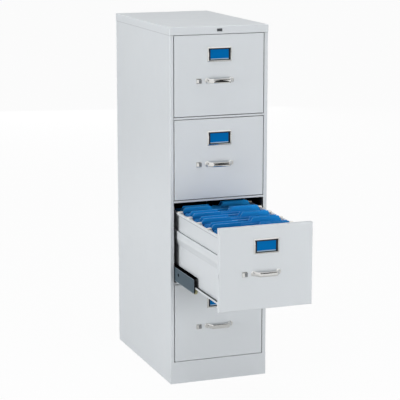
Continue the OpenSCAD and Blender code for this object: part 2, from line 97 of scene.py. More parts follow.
@dataclass
class CaseSizes:
    """Where the case's sheets lie, read from its CAD nodes."""

    sheet: float = 1.2 * MM
    sheet_gap: float = 0.05 * MM
    flange: float = 15.3 * MM

    def __post_init__(self) -> None:
        """Reads the boxes."""
        side_low, side_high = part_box("case_right_side")
        top_low, top_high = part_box("case_top")
        self.front_y = side_low.y
        self.side_in = side_high.x - self.sheet / 2
        self.back_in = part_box("case_back")[0].y + self.sheet / 2
        self.cap_in = top_high.z - self.sheet / 2
        self.cap_low = top_low.z
        self.flange_in = side_high.x - self.flange
        self.stile_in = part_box("case_cross_rails")[1].x + self.sheet_gap
        self.plinth_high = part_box("case_plinth")[1].z


@dataclass(frozen=True)
class Datum:
    """A drawer's place: the middle of the bottom edge of its front's face.

    Attributes:
        number: The drawer's number, from the top.
        point: The datum in the row frame.
    """

    number: int
    point: Vector

    @classmethod
    def of(cls, number: int) -> Datum:
        """Reads a drawer's place from its front's box.

        Args:
            number: The drawer's number.

        Returns:
            Its datum.
        """
        low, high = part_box(f"drawer_{number}_front")
        return cls(number, Vector(((low.x + high.x) / 2, low.y, low.z)))

    def at(self, x: float, y: float, z: float) -> Vector:
        """Returns a point given in millimetres from the datum."""
        return self.point + Vector((x * MM, y * MM, z * MM))

    def node(self, piece: str) -> str:
        """Returns the name of one of the drawer's CAD nodes."""
        return f"drawer_{self.number}_{piece}"


# ---- Finishes ----


def linear(code: str) -> tuple[float, float, float, float]:
    """Turns an sRGB hex colour into Blender's linear colour.

    Args:
        code: The colour as "#rrggbb".

    Returns:
        Linear red, green, blue and an alpha of 1.
    """
    parts = [int(code[i : i + 2], 16) / 255 for i in (1, 3, 5)]
    red, green, blue = (c / 12.92 if c <= 0.04045 else ((c + 0.055) / 1.055) ** 2.4 for c in parts)
    return red, green, blue, 1.0


def add_node(tree: NodeTree, kind: str, inputs: dict[Any, Any] | None = None, **settings: Any) -> Node:
    """Adds a shader node with its settings, input values and links.

    Args:
        tree: The node tree.
        kind: The node's type, such as "ShaderNodeBump".
        inputs: Input names or numbers, each with a value, or with a socket to link, or with a node whose
            first live output is linked.
        settings: Properties of the node.

    Returns:
        The new node.
    """
    made = tree.nodes.new(kind)
    for name, value in settings.items():
        setattr(made, name, value)
    for key, value in (inputs or {}).items():
        if isinstance(value, Node):
            value = next(output for output in value.outputs if output.enabled)
        if isinstance(value, NodeSocket):
            tree.links.new(value, made.inputs[key])
        else:
            made.inputs[key].default_value = value
    return made


@dataclass(frozen=True)
class Zone:
    """A box in a piece's own coordinates, mirrored across the YZ plane, in which its colour is another."""

    low: Sequence[float]
    high: Sequence[float]
    colour: str

    def mask(self, tree: NodeTree, place: NodeSocket) -> Node:
        """Adds the nodes that tell the zone from the rest.

        Args:
            tree: The material's node tree.
            place: The Object coordinates.

        Returns:
            A node that gives 1 in the zone and 0 outside.
        """
        split = add_node(tree, "ShaderNodeSeparateXYZ", {0: place})
        across = add_node(tree, "ShaderNodeMath", {0: split}, operation="ABSOLUTE")
        inside: Any = 1.0
        for part, low, high in zip((across, *split.outputs[1:]), self.low, self.high):
            middle, half = (low + high) / 2, (high - low) / 2
            near = add_node(tree, "ShaderNodeMath", {0: part, 1: middle, 2: half}, operation="COMPARE")
            inside = add_node(tree, "ShaderNodeMath", {0: near, 1: inside}, operation="MULTIPLY")
        return inside


class Grain(Enum):
    """The small relief that a way of making a surface leaves on it."""

    PEEL = "orange peel of a sprayed coat"
    BRUSHED = "fine lines of a brush or a rolling mill"
    MOULDED = "faint spark-eroded grain of a mould"
    FIBRE = "matted fibres of pressed board"
    POLISHED = "slight waves under bright plate"


# The noise that draws a grain. The other grains are drawn by small cells.
NOISES = {
    Grain.BRUSHED: {"Detail": 2.0},
    Grain.FIBRE: {"Detail": 6.0, "Distortion": 1.5},
    Grain.POLISHED: {"Detail": 1.0},
}
# How many times longer than wide a brushed line is.
BRUSH_STRETCH = 40


@dataclass(frozen=True)
class Finish:
    """A material: what it is made of and how its surface was made.

    Attributes:
        name: The material's name.
        colour: Its sRGB colour.
        grain: The relief on it.
        grain_mm: The grain's real spacing, in millimetres.
        relief_mm: The grain's depth, in millimetres.
        roughness: Its mean roughness.
        spread: How far the roughness varies from place to place.
        tone: How far the colour's lightness varies over a hand's width.
        metallic: 1 for a bare metal.
        ior: The refractive index of a coating or plastic.
        specular: How strong its surface reflection is, below 0.5 for fibrous and powdery surfaces.
        subsurface: How much light passes through the surface, for nylon and card.
        zones: Boxes that have another colour.
        patches: How many patches of tone lie along a metre.
        smudges: How many patches of roughness lie along a metre.
    """

    name: str
    colour: str
    grain: Grain
    grain_mm: float
    relief_mm: float = 0.02
    roughness: float = 0.5
    spread: float = 0.04
    tone: float = 0.02
    metallic: float = 0.0
    ior: float = 1.5
    specular: float = 0.5
    subsurface: float = 0.0
    zones: tuple[Zone, ...] = ()
    patches: float = 6.0
    smudges: float = 22.0

    def build(self) -> Material:
        """Makes the node-based material.

        Returns:
            The material.
        """
        material = bpy.data.materials.new(self.name)
        material.use_nodes = True
        tree = material.node_tree
        tree.nodes.clear()
        place = add_node(tree, "ShaderNodeTexCoord").outputs["Object"]
        # The colour drifts softly, and changes in the zones.
        broad = add_node(tree, "ShaderNodeTexNoise", {"Vector": place, "Scale": self.patches, "Detail": 3.0})
        base = linear(self.colour)[:3]
        dark, light = ((*(min(1.0, c * (1 + way * self.tone)) for c in base), 1.0) for way in (-1, 1))
        colour = add_node(tree, "ShaderNodeMix", {0: broad, 6: dark, 7: light}, data_type="RGBA")
        for zone in self.zones:
            mixed = {0: zone.mask(tree, place), 6: colour, 7: linear(zone.colour)}
            colour = add_node(tree, "ShaderNodeMix", mixed, data_type="RGBA")
        # Handling and the coat's thickness vary the roughness a little.
        smudge = add_node(tree, "ShaderNodeTexNoise", {"Vector": place, "Scale": self.smudges, "Detail": 4.0})
        low, high = self.roughness - self.spread, self.roughness + self.spread
        rough = add_node(tree, "ShaderNodeMapRange", {0: smudge, 1: 0.3, 2: 0.7, 3: low, 4: high})
        # The grain bends the normal.
        per_metre = 1 / (self.grain_mm * MM)
        if self.grain in NOISES:
            along = per_metre / (BRUSH_STRETCH if self.grain is Grain.BRUSHED else 1)
            spacing = {"Vector": place, "Scale": (along, per_metre, per_metre)}
            spaced = add_node(tree, "ShaderNodeMapping", spacing)
            noise = {"Vector": spaced, "Scale": 1.0, **NOISES[self.grain]}
            relief = add_node(tree, "ShaderNodeTexNoise", noise)
        else:
            cells = {"Vector": place, "Scale": per_metre}
            relief = add_node(tree, "ShaderNodeTexVoronoi", cells, feature="SMOOTH_F1")
        bumps = {"Height": relief, "Strength": 0.6, "Distance": self.relief_mm * MM}
        normal = add_node(tree, "ShaderNodeBump", bumps)
        inputs = {"Base Color": colour, "Roughness": rough, "Metallic": self.metallic, "Normal": normal}
        if self.metallic < 1:
            inputs |= {"IOR": self.ior, "Specular IOR Level": self.specular}
        if self.subsurface:
            inputs |= {
                "Subsurface Weight": self.subsurface,
                "Subsurface Radius": (1.0, 0.9, 0.7),
                "Subsurface Scale": 1.5 * MM,
            }
        shader = add_node(tree, "ShaderNodeBsdfPrincipled", inputs)
        add_node(tree, "ShaderNodeOutputMaterial", {"Surface": shader})
        return material


class Palette:
    """The cabinet's finishes, built once each and shared by the pieces."""

    GREY = "#d3d7da"
    NYLON = "#ece5cf"
    # Painted shade: the inside of the case is painted near-black, so that it reads as the deep shade inside
    # it.
    INSIDE = "#101112"
    # Dark primer grey: the inner steel's own colour, and painted shade on the edges that the sides and rails
    # return into the openings, so that the gaps round the drawers read dark.
    PRIMER_AND_SHADE = "#2a2c2e"
    # Painted shadow: a thin grey line under each lapped edge, where its step would cast a shadow.
    SEAM = "#999da0"
    # How deep the stiles and rails are folded, and the half width and half depth that take in the whole case.
    FOLD, WIDE, DEEP = 24 * MM, 0.2, 0.4
    # Boxes of a tray's section, in millimetres from its datum. The first four are painted shade: the runner's
    # corner, the bead's ledge, the hem's lower edge and the wall under the hem are painted darker so that
    # they read as shaded lines. The last box is the nylon shoe at the tail.
    LEDGE_SHADES_AND_SHOE = (
        ((154.0, 19, 22.6), (166.9, 600, 26.5), "#5f6466"),
        ((155.6, 19, 189.0), (161.9, 600, 190.7), "#868c8f"),
        ((162.8, 19, 250.8), (164.3, 600, 252.8), "#92969a"),
        ((155.2, 19, 246.8), (156.6, 600, 251.0), "#92969a"),
        ((156.05, 557, 6.5), (169.5, 593, 59.5), NYLON),
    )

    def __init__(self, case: CaseSizes) -> None:
        """Builds every finish.

        Args:
            case: The case's sizes, which place the zones.
        """
        front, fold, stile, cap = case.front_y, case.front_y + self.FOLD, case.stile_in, case.cap_low
        # How far the painted shadow lines, the painted shade on the stiles' returned edges and on the left
        # stile's edge reach, and how far clear of the cap and the front they stay.
        shadow_line_width, edge, stile_shade_width, below, behind = 1.4 * MM, 0.4 * MM, 0.9 * MM, 0.05 * MM, 0.3 * MM
        # Painted shade, box by box: the case's inside; a shadow line under the cap's flange; shadow lines
        # beside the back's flanges; the stiles' returned edges; the left stile's edge; the rails' returns
        # behind their faces.
        boxes = (
            ((-MM, fold, -MM), (case.side_in, case.back_in, case.cap_in), self.INSIDE),
            ((-MM, -self.DEEP, cap - shadow_line_width), (self.WIDE, self.DEEP, cap - below), self.SEAM),
            ((case.flange_in - shadow_line_width, case.back_in, 0.0), (case.flange_in, self.DEEP, cap), self.SEAM),
            ((stile - edge, front + behind, 0.0), (stile + edge, fold, cap), self.PRIMER_AND_SHADE),
            ((stile - edge, front - MM, case.plinth_high), (stile + stile_shade_width, front + MM, cap), self.PRIMER_AND_SHADE),
            ((-MM, front + 0.5 * MM, 0.0), (self.WIDE, fold, cap), self.PRIMER_AND_SHADE),
        )
        inside, cap_shadow_line, flange_shadow_line, stile_reveal_shade, left_stile_shade, rail_gap_shade = (Zone(*box) for box in boxes)
        on_case = (inside, cap_shadow_line, flange_shadow_line, stile_reveal_shade)
        self.case_enamel = self._enamel("", on_case)
        # Painted shade: the left stile's edge is painted primer-dark, so that the gap beside the drawers
        # reads as a dark line.
        self.left_enamel = self._enamel("_left", (*on_case, left_stile_shade))
        # Painted shade: the rails' returns behind their faces are painted primer-dark, so that the gaps above
        # and below the drawers read dark.
        self.rail_enamel = self._enamel("_rails", (inside, rail_gap_shade))
        self.drawer_enamel = self._enamel("_drawer")
        # After each grain come its spacing and depth in millimetres, and the roughness.
        # Grey primer over rolled steel, left matt inside the case.
        self.primer = Finish("grey_primer", self.PRIMER_AND_SHADE, Grain.PEEL, 1.5, 0.02, 0.7, specular=0.05).build()
        # Bright nickel-chrome plate on a polished stamping: mirror-like, with the stamping's slight waves.
        bare = {"spread": 0.03, "metallic": 1.0}
        self.chrome = Finish("chrome_plate", "#e6e6e4", Grain.POLISHED, 14, 0.03, 0.10, **bare).build()
        # The pull's feet are left as they come from the tumbler: the same plate, satin.
        self.satin = Finish("satin_chrome_plate", "#eeeeec", Grain.POLISHED, 8, 0.02, 0.36, **bare).build()
        # The ribbed thumb pad is cast and tumbled, so it throws back less light than the plate beside it.
        self.pad = Finish("tumbled_thumb_pad", "#85888a", Grain.MOULDED, 0.8, 0.03, specular=0.3).build()
        # Bright zinc on rolled strip: dull silver with the mill's lines along X.
        self.zinc = Finish("zinc_plate", "#b4b7b9", Grain.BRUSHED, 0.5, 0.01, 0.38, metallic=1.0).build()
        # Black oxide on the cradle's channels, made near-black and without reflection so that it also reads
        # as the shade inside the channel. The same black is painted on the bore of each plate's hole as
        # painted shade.
        self.black_and_shade = Finish("black_oxide_and_shade", "#060607", Grain.BRUSHED, 0.8, 0.015, 0.7, specular=0.0).build()
        # Slate-grey paint on the cradle's outer plate, with a paler painted highlight round its pressed edge.
        self.slate = Finish("slate_paint", "#4b5962", Grain.PEEL, 2.0, 0.015, 0.55, specular=0.12).build()
        self.slate_edge_highlight = Finish("slate_paint_edge_highlight", "#74828a", Grain.PEEL, 2.0, 0.015, 0.45).build()
        # Natural nylon: cream, waxy, and light goes a little way into it.
        skin = (Grain.MOULDED, 1.0, 0.02)
        self.nylon = Finish("moulded_nylon", self.NYLON, *skin, 0.42, subsurface=0.25).build()
        # The rollers' nylon has yellowed and taken up oil.
        self.oiled_nylon = Finish("oiled_nylon", "#b9b489", *skin, 0.36, subsurface=0.2).build()
        # Pressboard is pressed wet from dyed pulp: matt, with matted fibres about 0.4 mm apart, drawn at 1.2
        # mm. Its cut edges are paler: partly the paler fibre of a cut, partly a painted highlight along the
        # sheets' edges.
        matt = {"roughness": 0.8, "spread": 0.06, "tone": 0.05, "specular": 0.08}
        self.pressboard = Finish("blue_pressboard", "#289fea", Grain.FIBRE, 1.2, 0.05, **matt).build()
        self.cut_board_and_highlight = Finish("pressboard_cut_edge_and_highlight", "#84bdee", Grain.FIBRE, 1.2, 0.03, **matt).build()
        self.pocket_board = Finish("blue_pocket_board", "#0a5fa6", Grain.FIBRE, 1.2, 0.05, **matt).build()
        # Uncoated dyed card. The pale strip along its foot is a painted highlight, which stands for light off
        # the frame's lower lip; its dark border is partly the holder's dark backing and partly painted shade
        # in the frame's recess.
        dry = (Grain.FIBRE, 0.8, 0.01, 0.7)
        self.card = Finish("label_card", "#0067ab", *dry, specular=0.05).build()
        self.card_strip_highlight = Finish("label_card_strip", "#9db4c6", *dry, specular=0.1).build()
        self.card_border_and_shade = Finish("label_card_border", "#2b3033", *dry, specular=0.05).build()
        # The folder rods are flat spring steel whose hooks are dipped in cream plastic.
        self.rod = Finish("cream_coating", "#f3f0e8", *skin, 0.4).build()
        # The badge is a bare anodised plate.
        self.badge = Finish("anodised_badge", "#3c4044", Grain.BRUSHED, 0.5, 0.01, 0.35, ior=1.6).build()

    def _enamel(self, suffix: str, zones: tuple[Zone, ...] = ()) -> Material:
        """Makes baked enamel, sprayed on degreased steel and stoved: satin, even, with a faint orange peel.

        Args:
            suffix: What its name ends in.
            zones: Boxes in which the coat looks different.

        Returns:
            The material. Its peel is about 1 mm apart on the real sheet, and drawn at 2.5 mm to show at all.
        """
        return Finish(f"baked_enamel{suffix}", self.GREY, Grain.PEEL, 2.5, 0.012, 0.40, zones=zones).build()

    def tray_enamel(self, datum: Datum) -> Material:
        """Makes one tray's enamel, with painted shade on its ledges.

        Args:
            datum: The drawer's place.

        Returns:
            The material, which also tells the nylon shoes at the tray's tail from its sheet.
        """
        zones = tuple(Zone(datum.at(*low), datum.at(*high), colour) for low, high, colour in self.LEDGE_SHADES_AND_SHOE)
        return self._enamel(f"_tray_{datum.number}", zones)


# ---- Mesh helpers ----


def add_object(name: str, data: Any) -> Object:
    """Adds an object to the scene.

    Args:
        name: Its name.
        data: Its mesh, lamp or camera data.

    Returns:
        The object.
    """
    made = bpy.data.objects.new(name, data)
    bpy.context.scene.collection.objects.link(made)
    return made


def rounded(
    bm: BMesh, edges: Iterable[BMEdge | BMVert], radius: float, segments: int, affect: str = "EDGES"
) -> list[BMFace]:
    """Rounds edges, or the corners of a flat sheet.

    Args:
        bm: The mesh.
        edges: The edges or the corners.
        radius: How far from them the rounding starts.
        segments: The number of faces across it.
        affect: "EDGES" or "VERTICES".

    Returns:
        The faces of the rounding.
    """
    return bmesh.ops.bevel(
        bm, geom=list(edges), offset=radius, segments=segments, profile=0.5, affect=affect, material=-1
    )["faces"]


def block(
    bm: BMesh, low: Sequence[float], high: Sequence[float], ease: float = 0.0, segments: int = 2
) -> list[BMVert]:
    """Adds a rectangular block, with all its edges rounded if asked.

    Args:
        bm: The mesh to add to.
        low: The lowest corner.
        high: The highest corner.
        ease: The radius of its edges.
        segments: The number of faces across each rounded edge.

    Returns:
        The block's vertices.
    """
    low, high = Vector(low), Vector(high)
    place = Matrix.Translation((low + high) / 2) @ Matrix.Diagonal((*(high - low), 1.0))
    verts = bmesh.ops.create_cube(bm, size=1.0, matrix=place)["verts"]
    if ease:
        edges = {edge for vert in verts for edge in vert.link_edges}
        verts = {vert for face in rounded(bm, edges, ease, segments) for vert in face.verts}
    return list(verts)


def panel(bm: BMesh, middle: Sequence[float], size: tuple[float, float], axis: str) -> BMFace:
    """Adds a flat sheet, stood up by a quarter turn.

    Args:
        bm: The mesh to add to.
        middle: The sheet's middle.
        size: The lengths of its sides.
        axis: The axis that it is turned about.

    Returns:
        Its face.
    """
    turned = Matrix.Rotation(QUARTER_TURN, 4, axis) @ Matrix.Diagonal((*size, 1.0, 1.0))
    place = Matrix.Translation(middle) @ turned
    made = bmesh.ops.create_grid(bm, x_segments=1, y_segments=1, size=0.5, matrix=place)
    return made["verts"][0].link_faces[0]


def inset(bm: BMesh, faces: Iterable[BMFace], width: float) -> list[BMFace]:
    """Draws a border inside a flat sheet and returns its faces."""
    even = {"use_boundary": True, "use_even_offset": True}
    return bmesh.ops.inset_region(bm, faces=list(faces), thickness=width, **even)["faces"]


def thicken(bm: BMesh, shift: Vector) -> list[BMVert]:
    """Draws a whole sheet out into a slab.

    Args:
        bm: The sheet.
        shift: Where its new side goes.

    Returns:
        The vertices of the new side.
    """
    grown = bmesh.ops.extrude_face_region(bm, geom=list(bm.faces))["geom"]
    verts = [item for item in grown if isinstance(item, BMVert)]
    bmesh.ops.translate(bm, verts=verts, vec=shift)
    return verts


def join(bm: BMesh, part: BMesh) -> None:
    """Adds one mesh to another, with its material numbers, and frees it.

    Args:
        bm: The mesh to add to.
        part: The mesh that is added.
    """
    carrier = bpy.data.meshes.new("carrier")
    part.to_mesh(carrier)
    part.free()
    bm.from_mesh(carrier)
    bpy.data.meshes.remove(carrier)


def paint(faces: Iterable[BMFace], number: int) -> None:
    """Gives faces a material number."""
    for face in faces:
        face.material_index = number


def faces_of(verts: Iterable[BMVert]) -> set[BMFace]:
    """Returns the faces that touch any of these vertices."""
    return {face for vert in verts for face in vert.link_faces}


def whole(bm: BMesh) -> list[BMVert | BMEdge | BMFace]:
    """Returns all the geometry of a mesh."""
    return [*bm.verts, *bm.edges, *bm.faces]


def sweep(
    bm: BMesh,
    start: BMFace | BMEdge,
    point: Vector,
    heading: Vector,
    axis: Vector,
    stretches: Iterable[tuple[float, float, int]],
) -> None:
    """Draws a face or an edge along straight and bent stretches that turn about one axis.

    Args:
        bm: The mesh that holds the start.
        start: The profile's face or edge.
        point: The point of the route at the start.
        heading: The direction in which it sets off.
        axis: The axis that its bends turn about.
        stretches: The angle of each in radians, positive anticlockwise about the axis, then its radius, or
            its length where the angle is 0, and its number of faces.
    """
    end = start
    for angle, reach, steps in stretches:
        ahead = Vector() if angle else heading * reach
        centre = point + axis.cross(heading) * math.copysign(reach, angle)
        drawn = bmesh.ops.spin(bm, geom=[end], cent=centre, axis=axis, dvec=ahead, angle=angle, steps=steps)
        # The face that a stretch sets off from is inside the form, unless it closes the start.
        if isinstance(end, BMFace) and end is not start and end.is_valid:
            bmesh.ops.delete(bm, geom=[end], context="FACES_ONLY")
        end = next(item for item in drawn["geom_last"] if isinstance(item, type(start)))
        turn = Matrix.Rotation(angle, 3, axis)
        point = centre + turn @ (point - centre) + ahead
        heading = turn @ heading


@dataclass
class Fitting:
    """A piece or a few pieces of one drawer.

    Attributes:
        datum: The drawer's place.
        palette: The finishes.
        merge: Vertices nearer to each other than this become one.
    """

    datum: Datum
    palette: Palette
    merge: float = 0.005 * MM

    def read(self, piece: str) -> tuple[str, Vector, Vector, Vector]:
        """Reads where one of the drawer's CAD nodes is.

        Args:
            piece: The node's name, without the drawer.

        Returns:
            Its full name, its lowest and highest corners and its middle.
        """
        node = self.datum.node(piece)
        low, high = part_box(node)
        return node, low, high, (low + high) / 2

    def finish(
        self,
        bm: BMesh,
        name: str,
        materials: Sequence[Material],
        slot: str,
        replaced: str = "",
        body: str = "drawer",
        smooth_deg: float = 32.0,
    ) -> None:
        """Turns a bmesh into a finished piece that rides on a body.

        Args:
            bm: The piece's mesh, in the row frame. It is freed.
            name: The piece's name, with {} for the drawer's number.
            materials: Its materials, in the order of its faces' material numbers.
            slot: Not used.
            replaced: The CAD node that it stands for.
            body: The CAD body that it rides on, without the drawer's number.
            smooth_deg: Edges sharper than this stay sharp.
        """
        name, body = name.format(self.datum.number), f"{body}_{self.datum.number}"
        bmesh.ops.remove_doubles(bm, verts=bm.verts, dist=self.merge)
        bmesh.ops.recalc_face_normals(bm, faces=bm.faces)
        mesh = bpy.data.meshes.new(name)
        bm.to_mesh(mesh)
        bm.free()
        for material in materials:
            mesh.materials.append(material)
        mesh.shade_smooth()
        mesh.set_sharp_from_angle(angle=math.radians(smooth_deg))
        piece = add_object(name, mesh)
        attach(piece, body)
        if replaced:
            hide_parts(replaced)
        log.info("%s: %d faces on %s", name, len(mesh.polygons), body)


# ---- Fittings on the drawer fronts ----


@dataclass
class BowPull(Fitting):
    """A chromed bow pull: a crowned bar bent out from two domed feet.

    The crown of the bar mirrors the light above it, the dark room and the pale floor as three bands.
    """

    bar_depth: float = 5.0 * MM
    bar_height: float = 17 * MM
    foot_r: float = 10 * MM
    dome_r: float = 15.6 * MM
    bar_over_foot: float = 3.5 * MM
    bar_off_foot: float = 0.5 * MM
    bow_rise: float = 2.2 * MM
    sides: int = 32
    fullness: float = 0.64
    leg_deg: float = 58.0
    bow_deg: float = 6.0
    foot_bend: float = 5 * MM
    shoulder_bend: float = 8 * MM
    bend_steps: int = 6
    bow_steps: int = 12
    pinch: tuple[float, float, float] = (1, 0.35, 0.9)

    def _profile(self, bm: BMesh, centre: Vector) -> BMFace:
        """Adds the bar's cross-section, square to X: an oval with flattened sides.

        Args:
            bm: The mesh to add to.
            centre: The section's centre.

        Returns:
            The section's face.
        """
        upright = Matrix.Rotation(QUARTER_TURN, 4, "Y")
        made = bmesh.ops.create_circle(bm, cap_ends=True, segments=self.sides, radius=1.0, matrix=upright)
        for vert in made["verts"]:
            out, up = (math.copysign(abs(part) ** self.fullness, part) for part in vert.co.yz)
            vert.co = centre + Vector((0, out * self.bar_depth / 2, up * self.bar_height / 2))
        return made["verts"][0].link_faces[0]

    def _foot(self, bm: BMesh, centre: Vector) -> None:
        """Adds a domed foot: the cap of a ball, closed behind.

        Args:
            bm: The mesh to add to.
            centre: The middle of the foot's back, on the drawer's face.
        """
        dome = bmesh.new()
        sunk = math.sqrt(self.dome_r**2 - self.foot_r**2)
        place = Matrix.Translation(centre + Y_AXIS * sunk) @ Matrix.Rotation(QUARTER_TURN, 4, "X")
        bmesh.ops.create_uvsphere(dome, u_segments=36, v_segments=48, radius=self.dome_r, matrix=place)
        bmesh.ops.bisect_plane(dome, geom=whole(dome), plane_co=centre, plane_no=Y_AXIS, clear_outer=True)
        bmesh.ops.holes_fill(dome, edges=dome.edges, sides=0)
        paint(dome.faces, 1)
        join(bm, dome)

    def build(self) -> None:
        """Builds the pull."""
        node, low, high, mid = self.read("handle")
        half = (high.x - low.x) / 2
        leg, bow = math.radians(self.leg_deg), math.radians(self.bow_deg)
        foot_end = half - self.foot_r - self.bar_off_foot
        start_x = half - self.foot_r + self.bar_over_foot
        # The leg's rise and run between its bends, from where the bar has to stand at its shoulder.
        rise = high.y - low.y - self.bar_depth - self.bow_rise
        run = rise / math.tan(leg)
        trim_foot = self.foot_bend * math.tan(leg / 2)
        trim_shoulder = self.shoulder_bend * math.tan((leg - bow) / 2)
        bar_length = 2 * ((foot_end - run) / math.cos(bow) - trim_shoulder)
        arm = (
            (0, start_x - foot_end - trim_foot, 1),
            (-leg, self.foot_bend, self.bend_steps),
            (0, math.hypot(run, rise) - trim_foot - trim_shoulder, 1),
            (leg - bow, self.shoulder_bend, self.bend_steps),
        )
        crown = (2 * bow, bar_length / (2 * math.sin(bow)), self.bow_steps)
        bm = bmesh.new()
        start = Vector((mid.x - start_x, high.y - self.bar_depth / 2, mid.z))
        sweep(bm, self._profile(bm, start), start, X_AXIS, Z_AXIS, (*arm, crown, *arm[::-1]))
        ends = [vert for vert in bm.verts if abs(vert.co.x - mid.x) > start_x - NEAR]
        bmesh.ops.scale(bm, verts=ends, vec=self.pinch, space=Matrix.Translation((0, -high.y, -mid.z)))
        for side in (-1, 1):
            self._foot(bm, Vector((mid.x + side * (half - self.foot_r), high.y, mid.z)))
        materials = (self.palette.chrome, self.palette.satin)
        self.finish(bm, "pull_{}", materials, "chrome", node, smooth_deg=50)


@dataclass
class ThumbLatch(Fitting):
    """A thumb latch: a chromed plate with a ramp that rises to a ribbed pad at its right-hand end."""

    clearance: float = 0.3 * MM
    plate_out: float = 3.0 * MM
    rim_fall: float = 1.6 * MM
    pad_width: float = 11 * MM
    pad_half: float = 6.2 * MM
    pad_inset: float = 1.2 * MM
    pad_ease: float = 0.8 * MM
    ramp_inset: float = 1.5 * MM
    rib_out: float = 0.8 * MM
    rib_sunk: float = 0.6 * MM
    rib_ease: float = 0.3 * MM
    ribs: int = 4
    sunk: float = 1.0 * MM
    stem: tuple[float, float, float] = (2.5 * MM, 0, 3.0 * MM)

    def build(self) -> None:
        """Builds the latch."""
        node, low, high, mid = self.read("thumb_latch")
        ease = self.pad_ease
        back = self.datum.point.y - self.clearance
        top = back - self.plate_out
        bm = bmesh.new()
        plate = block(bm, (low.x, top, low.z), (high.x, back, high.z))
        crest = {e for v in plate for e in v.link_edges if all(w.co.y < back - self.sunk for w in e.verts)}
        rounded(bm, crest, self.rim_fall, 4)
        pad_high = Vector((high.x - self.pad_inset, top + self.sunk, mid.z + self.pad_half))
        pad_low = Vector((pad_high.x - self.pad_width, low.y + self.rib_out, mid.z - self.pad_half))
        ramp_x = low.x + self.ramp_inset
        ramp = block(bm, (ramp_x, *pad_low.yz), (pad_low.x + self.sunk, *pad_high.yz))
        foot = [v for v in ramp if v.co.x < ramp_x + NEAR and v.co.y < top]
        bmesh.ops.translate(bm, verts=foot, vec=(0, top - pad_low.y, 0))
        pad = block(bm, pad_low, pad_high, ease)
        pitch = (self.pad_width - 2 * ease) / self.ribs
        # Each rib fills the middle half of its pitch.
        for i in range(self.ribs):
            x = pad_low.x + ease + (i + 0.25) * pitch
            rib_high = (x + pitch / 2, pad_low.y + self.rib_sunk, pad_high.z - ease)
            pad += block(bm, (x, low.y, pad_low.z + ease), rib_high, self.rib_ease, 1)
        paint(faces_of(pad), 1)
        stem = Vector(self.stem)
        block(bm, Vector((mid.x, back - self.sunk, mid.z)) - stem, Vector((mid.x, high.y, mid.z)) + stem)
        materials = (self.palette.chrome, self.palette.pad)
        self.finish(bm, "latch_button_{}", materials, "latch_chrome", node, "latch")


@dataclass
class LabelHolder(Fitting):
    """A chromed label frame, with its dark-bordered card in it."""

    rail: float = 6.3 * MM
    slope: float = 5.4 * MM
    slope_fall: float = 2.6 * MM
    lip_fall: float = 1.4 * MM
    ease: float = 0.35 * MM
    card_margin: float = 3.4 * MM
    side_band: float = 3.4 * MM
    top_band: float = 3.4 * MM
    strip: float = 3.4 * MM

    def build(self) -> None:
        """Builds the frame and the card."""
        self._frame()
        self._card()

    def _frame(self) -> None:
        """Builds the frame: a sloped chromed rim, and a lip that falls to the card, painted dark as painted
        shade in the recess.
        """
        node, low, high, mid = self.read("label_holder")
        bm = bmesh.new()
        window = panel(bm, (mid.x, low.y, mid.z), (high - low).xz, "X")
        outline = list(window.verts)
        inset(bm, [window], self.slope)
        # Painted shade: the frame's inner lip is painted dark.
        paint(inset(bm, [window], self.rail - self.slope), 1)
        bmesh.ops.translate(bm, verts=outline, vec=(0, self.slope_fall, 0))
        bmesh.ops.translate(bm, verts=list(window.verts), vec=(0, self.lip_fall, 0))
        bmesh.ops.delete(bm, geom=[window], context="FACES_ONLY")
        for vert in thicken(bm, Vector()):
            vert.co.y = high.y
        bmesh.ops.recalc_face_normals(bm, faces=bm.faces)
        # The frame's ridge and its outer shoulder are rounded.
        ridge = [
            edge
            for edge in bm.edges
            for y in (low.y, low.y + self.slope_fall)
            if edge.is_manifold and all(abs(vert.co.y - y) < NEAR for vert in edge.verts)
        ]
        rounded(bm, ridge, self.ease, 2)
        materials = (self.palette.chrome, self.palette.card_border_and_shade)
        self.finish(bm, "label_frame_{}", materials, "chrome", node, smooth_deg=30)

    def _card(self) -> None:
        """Builds the card: a blue field over a pale strip that is a painted highlight, inside a dark border
        that is partly painted shade.
        """
        node, low, high, mid = self.read("label_card")
        bm = bmesh.new()
        sheet = panel(bm, (mid.x, high.y, mid.z), (high - low).xz, "X")
        # The card's border is painted dark, partly as painted shade of the frame's recess.
        paint(inset(bm, [sheet], self.card_margin), 2)
        for vert in sheet.verts:
            vert.co.x -= math.copysign(self.side_band, vert.co.x - mid.x)
            vert.co.z -= self.top_band if vert.co.z > mid.z else 0.0
        split_z = low.z + self.card_margin + self.strip
        cut = [sheet, *sheet.edges, *sheet.verts]
        bmesh.ops.bisect_plane(bm, geom=cut, plane_co=(0, 0, split_z), plane_no=Z_AXIS)
        # Painted highlight: the pale strip along the card's foot.
        paint((f for f in bm.faces if f.material_index == 0 and f.calc_center_median().z < split_z), 1)
        thicken(bm, Vector((0, low.y - high.y, 0)))
        materials = (self.palette.card, self.palette.card_strip_highlight, self.palette.card_border_and_shade)
        self.finish(bm, "label_card_{}", materials, "label_card", node)


# ---- Files ----


